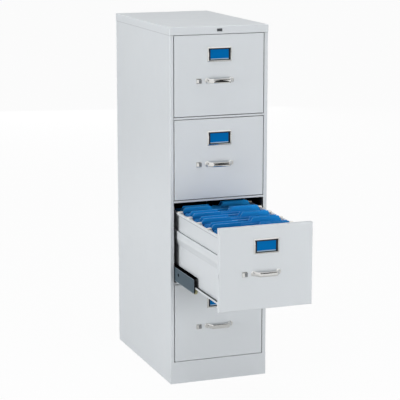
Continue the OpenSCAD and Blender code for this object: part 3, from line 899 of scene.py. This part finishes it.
@dataclass
class Folder:
    """A pressboard folder: a back leaf with a slanted tab, and a plain front leaf folded up against it."""

    half: float
    top: float
    tab: float = 15 * MM
    tab_width: float = 98 * MM
    slant: float = 10 * MM
    corner: tuple[float, float] = (11 * MM, 18 * MM)
    notch: float = 6 * MM
    back_leaf: float = 1.5 * MM
    front_leaf: float = 0.9 * MM
    front_fall: float = 6 * MM
    mouth: float = 2.5 * MM
    cuts: int = 6
    bow_part: float = 0.8
    cut_edge: float = 0.6

    def _end(self, x: float) -> list[tuple[float, float]]:
        """Finds the corners of the back leaf's top right.

        Args:
            x: The middle of the tab.

        Returns:
            The corners, from the side to the middle.
        """
        body, edge = self.top - self.tab, x + self.tab_width / 2
        if edge + self.corner[0] > self.half - MM:
            return [(self.half, self.top - self.corner[1]), (self.half - self.corner[0], self.top)]
        shoulder = [(self.half, body - self.notch), (self.half - self.notch, body)]
        return [*shoulder, (edge + self.slant, body), (edge, self.top)]

    def add(self, bm: BMesh, foot: Vector, lean: float, place: int, bow: float, turn: float) -> None:
        """Adds one folder, standing on its bottom fold.

        Args:
            bm: The mesh to add to.
            foot: The middle of its bottom edge.
            lean: How far it leans back, in radians.
            place: Where its tab is: -1 for the left, 0 for the middle and 1 for the right.
            bow: How far its middle bows out.
            turn: How far it is turned about the vertical, in radians.
        """
        x = place * (self.half - self.corner[0] - self.tab_width / 2)
        back = [*self._end(x), *((-a, b) for a, b in reversed(self._end(-x)))]
        body = self.top - self.tab - self.front_fall
        plain = [(self.half, body - self.notch), (self.half - self.notch, body)]
        front = [*plain, *((-a, b) for a, b in reversed(plain))]
        swung = Matrix.Rotation(turn, 3, "Z") @ Matrix.Rotation(lean, 3, "X")
        for rim, thick, ahead in ((back, self.back_leaf, 0.0), (front, self.front_leaf, self.mouth)):
            leaf = bmesh.new()
            corners = [(-self.half, 0.0), (self.half, 0.0), *rim]
            leaf.faces.new([leaf.verts.new((a, 0.0, b)) for a, b in corners])
            for cut in range(1, self.cuts):
                across, up = X_AXIS * (2 * cut / self.cuts - 1) * self.half, Z_AXIS * cut / self.cuts * body
                for point, normal in ((across, X_AXIS), (up, Z_AXIS)):
                    bmesh.ops.bisect_plane(leaf, geom=whole(leaf), plane_co=point, plane_no=normal)
            for vert in leaf.verts:
                side, rise = vert.co.x / self.half, vert.co.z / self.top
                wave = (1 - side * side) * math.sin(HALF_TURN * rise * self.bow_part)
                vert.co.y += bow * wave - ahead * rise
            bmesh.ops.solidify(leaf, geom=list(leaf.faces), thickness=thick)
            leaf.normal_update()
            # The edge faces get the paler board, which is partly a painted highlight.
            paint((face for face in leaf.faces if abs(face.normal.y) < self.cut_edge), 2)
            bmesh.ops.rotate(leaf, verts=leaf.verts, cent=(0, 0, 0), matrix=swung)
            bmesh.ops.translate(leaf, verts=leaf.verts, vec=foot - Y_AXIS * ahead / 2)
            join(bm, leaf)


@dataclass
class HangingFiles(Fitting):
    """The hanging pockets of the open drawer, with the folders in them and the rods that carry them."""

    pockets: int = 5
    files: int = 4
    pitch: float = 98 * MM
    half_gap: float = 45 * MM
    step: float = 4 * MM
    lean_deg: float = 5.2
    foot_up: float = 6.5 * MM
    folder_gap: float = 3 * MM
    hem: float = 2.0 * MM
    hem_inset: float = 2 * MM
    hem_ease: float = 1.0 * MM
    board: float = 0.8 * MM
    fold: float = 5 * MM
    base_gap: float = 0.5 * MM
    hook_top: float = 5 * MM
    rim_gap: float = 2 * MM
    hook: float = 17 * MM
    hook_over: float = 12 * MM
    half_bar: float = 0.8 * MM
    half_stem: float = 1.2 * MM
    half_hook: float = 1.8 * MM
    shift: float = 1.0 * MM
    settle: tuple[float, float] = (-1.0 * MM, 0.5 * MM)
    lean_spread: float = 0.8
    bow: float = 2.5 * MM
    turn_spread: float = 0.4
    seed: int = 11

    def __post_init__(self) -> None:
        """Reads where the CAD pockets and rods are."""
        self.low, self.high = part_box("hanging_folders")
        self.rods_low, self.rods_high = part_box("folder_rods")

    def build(self) -> None:
        """Builds every pocket and the rods."""
        rng = random.Random(self.seed)
        first = self.rods_low.y + self.half_bar + self.half_gap
        middles = [first + i * self.pitch for i in range(self.pockets)]
        for index, y in enumerate(middles):
            self._pocket(index, y, rng)
        self._rods([y + side * self.half_gap for y in middles for side in (-1, 1)])

    def _pocket(self, index: int, y: float, rng: random.Random) -> None:
        """Builds one hanging pocket and the folders that stand in it.

        Args:
            index: The pocket's number, from the front.
            y: The pocket's middle.
            rng: The source of the folders' small differences.
        """
        half, mid_x = (self.high.x - self.low.x) / 2, (self.high.x + self.low.x) / 2
        bar_low, bar_high = self.rods_low.z, self.rods_high.z - self.hook_top - self.rim_gap
        foot_z = self.low.z + self.foot_up
        bm = bmesh.new()
        self._sling(bm, Vector((mid_x, y - self.half_gap, bar_low + self.hem)), half)
        reach = Vector((half - self.hem_inset, self.hem, self.board))
        for rod_y in (y - self.half_gap, y + self.half_gap):
            low, high = Vector((mid_x, rod_y, bar_low)), Vector((mid_x, rod_y, bar_high))
            block(bm, low - reach, high + reach, self.hem_ease, 3)
        paint(bm.faces, 1)
        folder = Folder(half=half - self.folder_gap, top=self.high.z - foot_z)
        for j in range(self.files):
            k = j - (self.files - 1) / 2
            # The front pocket's tabs step across the drawer; the others' stand at the left and at the right.
            place = min(j, 2) - 1 if index == 0 else (-1 if j < 2 else 1)
            x = mid_x + rng.uniform(-self.shift, self.shift)
            foot = Vector((x, y + k * self.step, foot_z + rng.uniform(*self.settle)))
            lean = math.radians(-k * self.lean_deg + rng.uniform(-self.lean_spread, self.lean_spread))
            bow = rng.uniform(-self.bow, self.bow)
            turn = math.radians(rng.uniform(-self.turn_spread, self.turn_spread))
            folder.add(bm, foot, lean, place, bow, turn)
        materials = (self.palette.pressboard, self.palette.pocket_board, self.palette.cut_board_and_highlight)
        replaced = "hanging_folders" if index == 0 else ""
        self.finish(bm, f"hanging_pocket_{index + 1}", materials, "folder_card", replaced, smooth_deg=30)

    def _sling(self, bm: BMesh, start: Vector, half: float) -> None:
        """Adds the pocket itself: one sheet from the front rod down, round its fold and up to the back rod.

        Args:
            bm: The mesh to add to.
            start: The middle of the sheet's front edge.
            half: Half the sheet's width.
        """
        drop = start.z - self.low.z - self.base_gap - self.fold
        lean = math.atan2(self.half_gap - self.fold, drop)
        edge = bm.edges.new([bm.verts.new(start + X_AXIS * side) for side in (-half, half)])
        leaf, heading = (0, drop / math.cos(lean), 1), Vector((0, math.sin(lean), -math.cos(lean)))
        sweep(bm, edge, start, heading, X_AXIS, (leaf, (HALF_TURN - 2 * lean, self.fold, 6), leaf))
        bmesh.ops.solidify(bm, geom=list(bm.faces), thickness=-self.board)

    def _rods(self, places: Iterable[float]) -> None:
        """Builds the flat rods, whose dipped hooks rest on the drawer's rims.

        Args:
            places: Where they lie along the drawer.
        """
        low, high = self.rods_low, self.rods_high
        mid_x, reach, rim = (low.x + high.x) / 2, (high.x - low.x) / 2, high.z - self.hook_top
        inner, neck = reach - self.hook, reach - self.hook_over
        # Each form's ends across the drawer, half thickness, lowest and highest point, and easing.
        forms = (
            (-neck, neck, self.half_bar, low.z, rim - self.rim_gap, 0.3 * MM, 1),
            (inner, reach, self.half_hook, rim, high.z, 1.2 * MM, 2),
            (-reach, -inner, self.half_hook, rim, high.z, 1.2 * MM, 2),
            (inner, neck, self.half_stem, low.z, rim + self.rim_gap, 0.8 * MM, 1),
            (-neck, -inner, self.half_stem, low.z, rim + self.rim_gap, 0.8 * MM, 1),
        )
        bm = bmesh.new()
        for y in places:
            for left, right, thick, foot, top, ease, segments in forms:
                block(bm, (mid_x + left, y - thick, foot), (mid_x + right, y + thick, top), ease, segments)
        self.finish(bm, "folder_rods_dipped", (self.palette.rod,), "rod_steel", "folder_rods")


# ---- Suspension ----


@dataclass
class CradlePlates(Fitting):
    """The cradle's outer plates, each pressed with a paler edge and a hole, with a nylon shoe on its tail.
    The paler edge is a painted highlight, and the hole's bore is painted black as painted shade.
    """

    sheet: float = 1.6 * MM
    web_gap: float = 0.05 * MM
    corner: float = 10 * MM
    border: float = 2.0 * MM
    press: float = 0.5 * MM
    hole_r: float = 6.5 * MM
    hole_back: float = 165 * MM
    hole_up: float = 30 * MM
    near_hole: float = 10 * MM
    shoe_low: float = 0.5 * MM
    shoe_ease: float = 1.5 * MM
    shoe: tuple[float, float, float] = (34 * MM, 6 * MM, 41 * MM)

    def build(self) -> None:
        """Builds the pair of plates."""
        node, low, high, mid = self.read("cradle_plates")
        outer = self.read("cradle_channels")[2].x + self.web_gap + self.sheet
        foot = low.z + self.shoe_low
        bm = bmesh.new()
        sheet = panel(bm, (outer, mid.y, (foot + high.z) / 2), (high.z - foot, high.y - low.y), "Y")
        nose = sorted(sheet.verts, key=lambda vert: (vert.co.y, vert.co.z))
        rounded(bm, [nose[0]], self.corner, 8, "VERTICES")
        rounded(bm, [nose[1]], self.corner / 4, 3, "VERTICES")
        bmesh.ops.delete(bm, geom=list(bm.faces), context="FACES_ONLY")
        centre = Vector((outer, low.y + self.hole_back, foot + self.hole_up))
        turned = Matrix.Translation(centre) @ Matrix.Rotation(QUARTER_TURN, 4, "Y")
        bmesh.ops.create_circle(bm, cap_ends=False, segments=24, radius=self.hole_r, matrix=turned)
        bmesh.ops.triangle_fill(bm, edges=list(bm.edges), use_beauty=True, normal=X_AXIS)
        web = list(bm.faces)
        rims = inset(bm, web, self.border)
        # Painted highlight: the pressed border is painted paler, except round the hole.
        paint((f for f in rims if (f.calc_center_median() - centre).length > self.near_hole), 1)
        pressed = {vert for face in web for vert in face.verts}
        bmesh.ops.translate(bm, verts=list(pressed), vec=(-self.press, 0, 0))
        thicken(bm, X_AXIS * (self.press - self.sheet))
        # Painted shade: the bore of the hole is painted black.
        bores = [f for f in bm.faces if (f.calc_center_median() - centre).length < self.hole_r + NEAR]
        paint((face for face in bores if abs(face.normal.x) < 0.5), 3)
        length, gap, height = self.shoe
        shoe_low, shoe_high = (outer, high.y - length, low.z), (high.x, high.y - gap, low.z + height)
        paint(faces_of(block(bm, shoe_low, shoe_high, self.shoe_ease)), 2)
        bmesh.ops.mirror(bm, geom=whole(bm), axis="X", merge_dist=0.0)
        materials = (self.palette.slate, self.palette.slate_edge_highlight, self.palette.nylon, self.palette.black_and_shade)
        self.finish(bm, "cradle_plates_{}", materials, "cradle_slate", node, "cradle", 10)


@dataclass
class Rollers(Fitting):
    """Nylon rollers with a dished face and rounded treads, in a pair on the cradle and a pair on the case."""

    width: float = 10 * MM
    ease: float = 1.2 * MM
    chamfer: float = 0.3
    dish: float = 1.0 * MM
    dish_slope: float = 0.6 * MM
    bore: float = 3.06 * MM
    hub: float = 2.0 * MM
    tread: float = 2.6 * MM

    def build(self) -> None:
        """Builds both pairs."""
        for kind in ("cradle_rollers", "case_rollers"):
            node, low, high, mid = self.read(kind)
            bm = bmesh.new()
            for x in (low.x, high.x - self.width):
                self._roller(bm, Vector((x, *mid.yz)), (high.z - low.z) / 2)
            self.finish(bm, kind + "_{}_turned", (self.palette.oiled_nylon,), "nylon", node, kind, 40)

    def _roller(self, bm: BMesh, end: Vector, radius: float) -> None:
        """Adds one roller by turning half its section about its axle.

        Args:
            bm: The mesh to add to.
            end: The middle of its left-hand face.
            radius: The radius of its tread.
        """
        hub, web = self.bore + self.hub, radius - self.tread
        section = [
            (0.0, self.bore),
            (0.0, hub),
            (self.dish, hub + self.dish_slope),
            (self.dish, web - self.dish_slope),
            (0.0, web),
            (0.0, radius - self.ease),
            (self.ease * self.chamfer, radius - self.ease * self.chamfer),
            (self.ease, radius),
        ]
        section += [(self.width - x, r) for x, r in reversed(section)]
        verts = [bm.verts.new(end + Vector((x, 0, r))) for x, r in section]
        edges = [bm.edges.new(pair) for pair in zip(verts, verts[1:] + verts[:1])]
        about = {"cent": end, "axis": X_AXIS, "dvec": (0, 0, 0), "angle": FULL_TURN, "steps": 36}
        bmesh.ops.spin(bm, geom=[*verts, *edges], use_merge=True, use_duplicate=False, **about)


# ---- The cabinet ----


@dataclass
class Cabinet:
    """The whole cabinet: its CAD nodes in their finishes and the pieces that stand for the finer ones."""

    palette: Palette
    nodes: dict[str, Object]

    def coat(self, name: str, material: Material) -> None:
        """Gives a CAD node its finish.

        Args:
            name: The node.
            material: The finish.
        """
        piece = self.nodes[name]
        piece.data.materials.clear()
        piece.data.materials.append(material)
        log.info("%s: %s", name, material.name)

    def dress_case(self) -> None:
        """Coats the case's sheets, its inner steel and the badge plate."""
        for name in ("right_side", "back", "top", "plinth"):
            self.coat(f"case_{name}", self.palette.case_enamel)
        self.coat("case_left_side", self.palette.left_enamel)
        self.coat("case_cross_rails", self.palette.rail_enamel)
        for name in ("uprights", "slide_channels", "corner_gussets"):
            self.coat(f"case_{name}", self.palette.primer)
        self.coat("badge_plate", self.palette.badge)

    def dress_drawer(self, datum: Datum) -> None:
        """Coats a drawer's sheets and builds its fittings and rollers.

        Args:
            datum: The drawer's place.
        """
        self.coat(datum.node("front"), self.palette.drawer_enamel)
        self.coat(datum.node("tray"), self.palette.tray_enamel(datum))
        self.coat(datum.node("latch_bar"), self.palette.zinc)
        self.coat(datum.node("follower"), self.palette.zinc)
        self.coat(datum.node("cradle_channels"), self.palette.black_and_shade)
        for fitting in (CradlePlates, BowPull, ThumbLatch, LabelHolder, Rollers):
            fitting(datum, self.palette).build()

    def build(self) -> None:
        """Dresses everything."""
        self.dress_case()
        for number in DRAWERS:
            self.dress_drawer(Datum.of(number))
        HangingFiles(Datum.of(FILED_DRAWER), self.palette).build()


# ---- Studio ----


def graded(tree: NodeTree, level: Any, ramps: Iterable[tuple]) -> Any:
    """Adds the nodes that grade how bright a mirrored place is.

    Args:
        tree: The node tree.
        level: The level that the first ramp changes.
        ramps: Each ramp's value, span, levels at the span's two ends, and "MINIMUM" or "MAXIMUM", which
            says whether it darkens or lightens.

    Returns:
        The level after all the ramps.
    """
    for value, span, levels, operation in ramps:
        part = add_node(tree, "ShaderNodeMapRange", dict(enumerate((value, *span, *levels))))
        level = add_node(tree, "ShaderNodeMath", {0: level, 1: part}, operation=operation)
    return level


@dataclass(frozen=True)
class Viewpoint:
    """Where the camera stands, which way it looks and its lens."""

    place: tuple[float, float, float] = (-2.0730, -5.7028, 1.8601)
    turn: float = -0.3553
    tilt_down: float = 0.2010
    lens_mm: float = 144.7
    sensor_mm: float = 36.0

    def build(self) -> None:
        """Makes the camera and sets it as the scene's."""
        data = bpy.data.cameras.new("camera")
        data.lens = self.lens_mm
        data.sensor_width = self.sensor_mm
        camera = add_object("camera", data)
        camera.location = self.place
        camera.rotation_euler = (QUARTER_TURN - self.tilt_down, 0, self.turn)
        bpy.context.scene.camera = camera


@dataclass
class Studio:
    """A pale floor, a white surround and soft lamps, in a room that bright metal mirrors.

    Bright plate shows what stands round it: a pale ceiling, a pale floor, white screens at the left and the
    right, an unlit aisle that leads away in front, and an unlit corner beside the cabinet. The ceiling and
    the screens fade in over a span of the mirrored direction, and the floor's levels over a span of distance.
    """

    # Each square lamp's name, place, size and power in watts.
    LAMPS = (
        ("left_screen", (-5.6, -0.9, 1.2), 3.0, 220.0),
        ("front_screen", (1.2, -6.8, 1.1), 3.0, 151.0),
        ("low_screen", (1.3, -3.4, 0.6), 1.1, 20.0),
        ("top_screen", (-0.2, -0.5, 4.2), 2.6, 79.0),
        ("back_screen", (1.6, 6.4, 1.3), 3.0, 95.0),
    )

    ambient: float = 0.22
    light_colour: str = "#fbfdff"
    floor_half: float = 60.0
    floor_colour: str = "#d2d3d4"
    floor_glow: float = 0.96
    room: float = 0.035
    floor_levels: tuple[float, float] = (0.55, 0.9)
    floor_span: tuple[float, float] = (1.6, 2.8)
    ceiling_span: tuple[float, float] = (0.2, 0.45)
    left_span: tuple[float, float] = (-0.4, -0.2)
    right_span: tuple[float, float] = (0.72, 0.84)
    beside_span: tuple[float, float] = (-0.38, -0.28)
    across: tuple[float, float] = (0.946, 0.326)
    aisle_half: float = 1.6
    aisle_from: float = 3.5
    dark_beside: tuple[float, float] = (4.5, 1.5)
    beside_radius: float = 3.4
    dark_fade: float = 0.4
    lit_point: tuple[float, float, float] = (0, -0.2, 0.7)

    def build(self) -> None:
        """Builds the surround, the floor and the lamps."""
        bpy.context.scene.view_settings.view_transform = "Standard"
        self._world()
        self._floor()
        self._lamps()

    def _lamps(self) -> None:
        """Adds the soft lamps, which face the middle of the cabinet and which bright metal doesn't mirror."""
        for name, place, size, power in self.LAMPS:
            data = bpy.data.lights.new(name, "AREA")
            data.shape = "SQUARE"
            data.size = size
            data.energy = power
            lamp = add_object(name, data)
            lamp.location = place
            lamp.rotation_euler = (Vector(self.lit_point) - lamp.location).to_track_quat("-Z", "Y").to_euler()
            lamp.visible_glossy = False
            lamp.visible_camera = False

    def _world(self) -> None:
        """Makes the surround: white behind the object, an even light on it, and a room for bright metal."""
        world = bpy.data.worlds.new("surround")
        bpy.context.scene.world = world
        world.use_nodes = True
        tree = world.node_tree
        tree.nodes.clear()
        seen = add_node(tree, "ShaderNodeLightPath").outputs
        heading = add_node(tree, "ShaderNodeSeparateXYZ", {0: add_node(tree, "ShaderNodeTexCoord")}).outputs
        ramps = (
            (heading[0], self.right_span, (self.room, 1.0), "MINIMUM"),
            (heading[1], self.beside_span, (1.0, self.room), "MINIMUM"),
            (heading[0], self.left_span, (1.0, self.room), "MAXIMUM"),
            (heading[2], self.ceiling_span, (self.room, 1.0), "MAXIMUM"),
        )
        mirrored = add_node(tree, "ShaderNodeBackground", {0: WHITE, 1: graded(tree, 1.0, ramps)})
        light = add_node(tree, "ShaderNodeBackground", {0: linear(self.light_colour), 1: self.ambient})
        white = add_node(tree, "ShaderNodeBackground", {0: WHITE, 1: 1.0})
        lit = add_node(tree, "ShaderNodeMixShader", {0: seen["Is Glossy Ray"], 1: light, 2: mirrored})
        mixed = add_node(tree, "ShaderNodeMixShader", {0: seen["Is Camera Ray"], 1: lit, 2: white})
        add_node(tree, "ShaderNodeOutputWorld", {0: mixed})

    def _floor(self) -> None:
        """Makes the floor, which stays nearly white but keeps the object's shadow."""
        bm = bmesh.new()
        bmesh.ops.create_grid(bm, x_segments=1, y_segments=1, size=self.floor_half)
        mesh = bpy.data.meshes.new("floor")
        bm.to_mesh(mesh)
        bm.free()
        material = bpy.data.materials.new("studio_floor")
        material.use_nodes = True
        tree = material.node_tree
        tree.nodes.clear()
        seen = add_node(tree, "ShaderNodeLightPath").outputs
        matt = add_node(tree, "ShaderNodeBsdfDiffuse", {0: linear(self.floor_colour)})
        white = add_node(tree, "ShaderNodeEmission", {0: WHITE, 1: 1.0})
        glow = {0: seen["Is Camera Ray"], 1: self.floor_glow}
        share = add_node(tree, "ShaderNodeMath", glow, operation="MULTIPLY")
        shown = add_node(tree, "ShaderNodeMixShader", {0: share, 1: matt, 2: white})
        place = add_node(tree, "ShaderNodeTexCoord").outputs["Object"]
        # The aisle is dark within its sides and past its start.
        away = {0: place, 1: (*self.across, 0.0)}
        aside = add_node(tree, "ShaderNodeVectorMath", away, operation="DOT_PRODUCT")
        aside = add_node(tree, "ShaderNodeMath", {0: aside}, operation="ABSOLUTE")
        edge, fade = self.aisle_half, self.dark_fade
        sides = {0: aside, 1: edge, 2: edge + fade, 3: self.room, 4: 1.0}
        level = add_node(tree, "ShaderNodeMapRange", sides)
        out, beside = (
            add_node(tree, "ShaderNodeVectorMath", {0: place, 1: (*centre, 0.0)}, operation="DISTANCE")
            for centre in ((0.0, 0.0), self.dark_beside)
        )
        ramps = (
            (out, (self.aisle_from, self.aisle_from + fade), (1.0, self.room), "MAXIMUM"),
            (out, self.floor_span, self.floor_levels, "MINIMUM"),
            (beside, (self.beside_radius, self.beside_radius + fade), (self.room, 1.0), "MINIMUM"),
        )
        mirrored = add_node(tree, "ShaderNodeEmission", {0: WHITE, 1: graded(tree, level, ramps)})
        mixed = add_node(tree, "ShaderNodeMixShader", {0: seen["Is Glossy Ray"], 1: shown, 2: mirrored})
        add_node(tree, "ShaderNodeOutputMaterial", {0: mixed})
        mesh.materials.append(material)
        add_object("floor", mesh)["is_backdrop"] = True


def plain(box: Any) -> list[list[float]]:
    """Turns a pair of corners into plain lists of numbers."""
    return [[float(value) for value in corner] for corner in box]


def main() -> None:
    """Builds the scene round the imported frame."""
    logging.basicConfig(level=logging.INFO, format="%(name)s %(message)s")
    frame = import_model()
    before = plain(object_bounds())
    Viewpoint().build()
    Cabinet(Palette(CaseSizes()), frame["nodes"]).build()
    Studio().build()
    {"cad": before, "visual": plain(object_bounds())}


if __name__ == "__main__":
    main()
